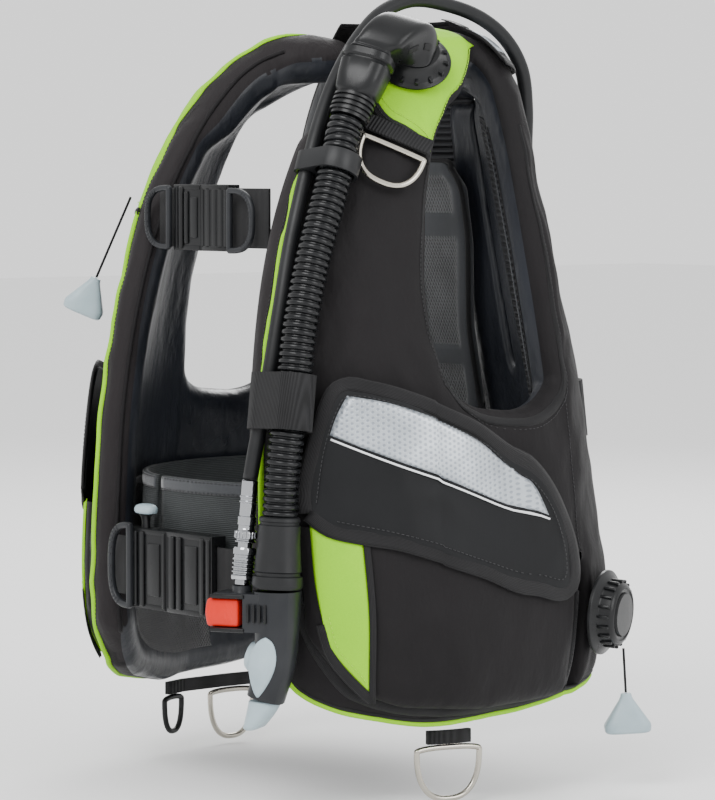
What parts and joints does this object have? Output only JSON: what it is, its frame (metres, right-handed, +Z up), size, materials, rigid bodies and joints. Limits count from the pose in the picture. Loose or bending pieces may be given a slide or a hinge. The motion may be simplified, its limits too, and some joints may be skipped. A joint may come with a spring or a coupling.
{
  "type": "buoyancy compensator vest",
  "caption": "Jacket-style scuba buoyancy vest: black air cell with lime shoulders, corrugated inflator hose, quick-release belts, flap pockets, rings, tank band and backplate.",
  "frame": {"origin": "middle of the tank cradle, on the rear faces of the backplate ribs where the cylinder bears", "axes": "+Z up with the vest upright, -Y out of the front (the wearer faces -Y), +X to the wearer's left"},
  "size_m": [0.4799, 0.4477, 0.6727],
  "materials": {
    "nylon": "plain-woven black nylon, faint brown sheen",
    "lime_fabric": "lime yellow-green coated nylon",
    "grey_mesh": "dark grey fine mesh",
    "webbing": "ribbed black webbing",
    "black_plastic": "satin moulded black plastic",
    "grey_plastic": "satin charcoal plastic",
    "rubber": "satin black rubber",
    "red_plastic": "glossy red",
    "pale_plastic": "pale blue-grey, satin",
    "stainless_steel": "polished stainless wire",
    "chrome": "chrome plated brass"
  },
  "bodies": {
    "vest": {"left_front_lobe": "nylon", "right_front_lobe": "nylon", "left_side_lobe": "nylon", "right_side_lobe": "nylon", "left_rear_lobe": "nylon", "right_rear_lobe": "nylon", "neck_collar": "nylon", "yoke_flap": "nylon", "left_pocket": "nylon", "right_pocket": "nylon", "left_shoulder_strap": "lime_fabric", "right_shoulder_strap": "lime_fabric", "left_cummerbund": "grey_mesh", "right_cummerbund": "grey_mesh", "back_pad": "grey_mesh", "tank_band": "webbing", "chest_strap_left": "webbing", "chest_strap_right": "webbing", "waist_strap_left": "webbing", "waist_strap_right": "webbing", "left_hem_tab": "webbing", "right_hem_tab": "webbing", "chest_ring_strip": "webbing", "hose_band": "webbing", "backplate": "black_plastic", "cam_buckle_frame": "black_plastic", "shoulder_port": "black_plastic", "shoulder_elbow": "black_plastic", "upper_cuff": "black_plastic", "chest_buckle_female": "black_plastic", "waist_buckle_female": "black_plastic", "left_dump_valve": "black_plastic", "right_dump_valve": "black_plastic", "inflator_body": "grey_plastic", "corrugated_hose": "rubber", "lower_cuff": "rubber", "lp_hose": "rubber", "hose_clip": "rubber", "mouthpiece": "pale_plastic", "coupling_body": "chrome", "lp_hose_fitting": "chrome"},
    "left_flap": {"left_pocket_flap": "nylon"},
    "right_flap": {"right_pocket_flap": "nylon"},
    "inflate_button": {"inflate_button": "red_plastic"},
    "deflate_button": {"deflate_button": "pale_plastic"},
    "coupling_sleeve": {"coupling_sleeve": "chrome"},
    "chest_buckle_male": {"chest_buckle_male": "black_plastic"},
    "waist_buckle_male": {"waist_buckle_male": "black_plastic"},
    "chest_loop_left": {"chest_loop_left": "grey_plastic"},
    "chest_loop_right": {"chest_loop_right": "grey_plastic"},
    "waist_pull_loop": {"waist_pull_loop": "grey_plastic"},
    "left_chest_ring": {"left_chest_ring": "stainless_steel"},
    "left_hem_ring": {"left_hem_ring": "stainless_steel"},
    "right_hem_ring": {"right_hem_ring": "stainless_steel"},
    "right_small_ring": {"right_small_ring": "stainless_steel"},
    "left_dump_pull": {"left_dump_cord": "webbing", "left_dump_knob": "pale_plastic"},
    "right_dump_pull": {"right_dump_cord": "webbing", "right_dump_knob": "pale_plastic"},
    "cam_lever": {"cam_buckle_lever": "black_plastic"}
  },
  "joints": [
    {"name": "left_flap_hinge", "type": "hinge", "parent": "vest", "child": "left_flap", "pos_m": [0.2066, -0.2409, -0.0583], "axis": [-0.2948, -0.8545, 0.4277], "range_deg": [0, 50]},
    {"name": "right_flap_hinge", "type": "hinge", "parent": "vest", "child": "right_flap", "pos_m": [-0.2066, -0.2409, -0.0583], "axis": [-0.2948, 0.8545, -0.4277], "range_deg": [0, 50]},
    {"name": "inflate_button_push", "type": "slide", "parent": "vest", "child": "inflate_button", "axis": [0.8645, 0.5026, 0], "range_m": [0, 0.004], "stiffness_N_per_m": 800, "springref_m": -0.001},
    {"name": "deflate_button_push", "type": "slide", "parent": "vest", "child": "deflate_button", "axis": [0.831, 0.483, -0.276], "range_m": [0, 0.003], "stiffness_N_per_m": 800, "springref_m": -0.001},
    {"name": "coupling_sleeve_pull", "type": "slide", "parent": "vest", "child": "coupling_sleeve", "axis": [0.0199, 0.0847, 0.9962], "range_m": [0, 0.003], "stiffness_N_per_m": 800, "springref_m": -0.001},
    {"name": "chest_buckle_release", "type": "slide", "parent": "vest", "child": "chest_buckle_male", "axis": [1, 0, 0], "range_m": [0, 0.022]},
    {"name": "waist_buckle_release", "type": "slide", "parent": "vest", "child": "waist_buckle_male", "axis": [1, 0, 0], "range_m": [0, 0.03]},
    {"name": "chest_loop_left_hinge", "type": "hinge", "parent": "vest", "child": "chest_loop_left", "pos_m": [0.034, -0.31932, 0.09666], "axis": [0, 0, -1], "range_deg": [0, 110]},
    {"name": "chest_loop_right_hinge", "type": "hinge", "parent": "vest", "child": "chest_loop_right", "pos_m": [-0.05, -0.31932, 0.09866], "axis": [0, 0, 1], "range_deg": [0, 110]},
    {"name": "waist_pull_loop_hinge", "type": "hinge", "parent": "vest", "child": "waist_pull_loop", "pos_m": [-0.054, -0.35883, -0.19634], "axis": [0, 0, 1], "range_deg": [0, 110]},
    {"name": "left_chest_ring_hinge", "type": "hinge", "parent": "vest", "child": "left_chest_ring", "pos_m": [0.14962, -0.23832, 0.15708], "axis": [-0.5489, -0.7366, 0.3951], "range_deg": [0, 90]},
    {"name": "left_hem_ring_hinge", "type": "hinge", "parent": "vest", "child": "left_hem_ring", "pos_m": [0.18282, -0.20722, -0.34118], "axis": [0.2507, 0.9681, 0], "range_deg": [-60, 60]},
    {"name": "right_hem_ring_hinge", "type": "hinge", "parent": "vest", "child": "right_hem_ring", "pos_m": [-0.18772, -0.1442, -0.33915], "axis": [0.0345, 0.9994, 0], "range_deg": [-60, 60]},
    {"name": "right_small_ring_hinge", "type": "hinge", "parent": "vest", "child": "right_small_ring", "pos_m": [-0.18267, -0.21517, -0.33915], "axis": [-0.3421, 0.9397, 0], "range_deg": [-60, 60]},
    {"name": "left_dump_pull_slide", "type": "slide", "parent": "vest", "child": "left_dump_pull", "axis": [0.0554, 0.0277, -0.9981], "range_m": [0, 0.01], "stiffness_N_per_m": 300, "springref_m": -0.004},
    {"name": "right_dump_pull_slide", "type": "slide", "parent": "vest", "child": "right_dump_pull", "axis": [-0.3151, -0.2558, -0.9139], "range_m": [0, 0.01], "stiffness_N_per_m": 300, "springref_m": -0.004},
    {"name": "cam_lever_hinge", "type": "hinge", "parent": "vest", "child": "cam_lever", "pos_m": [-0.027, 0.03661, -0.06771], "axis": [0, -0.134, 0.991], "range_deg": [0, 120]}
  ]
}
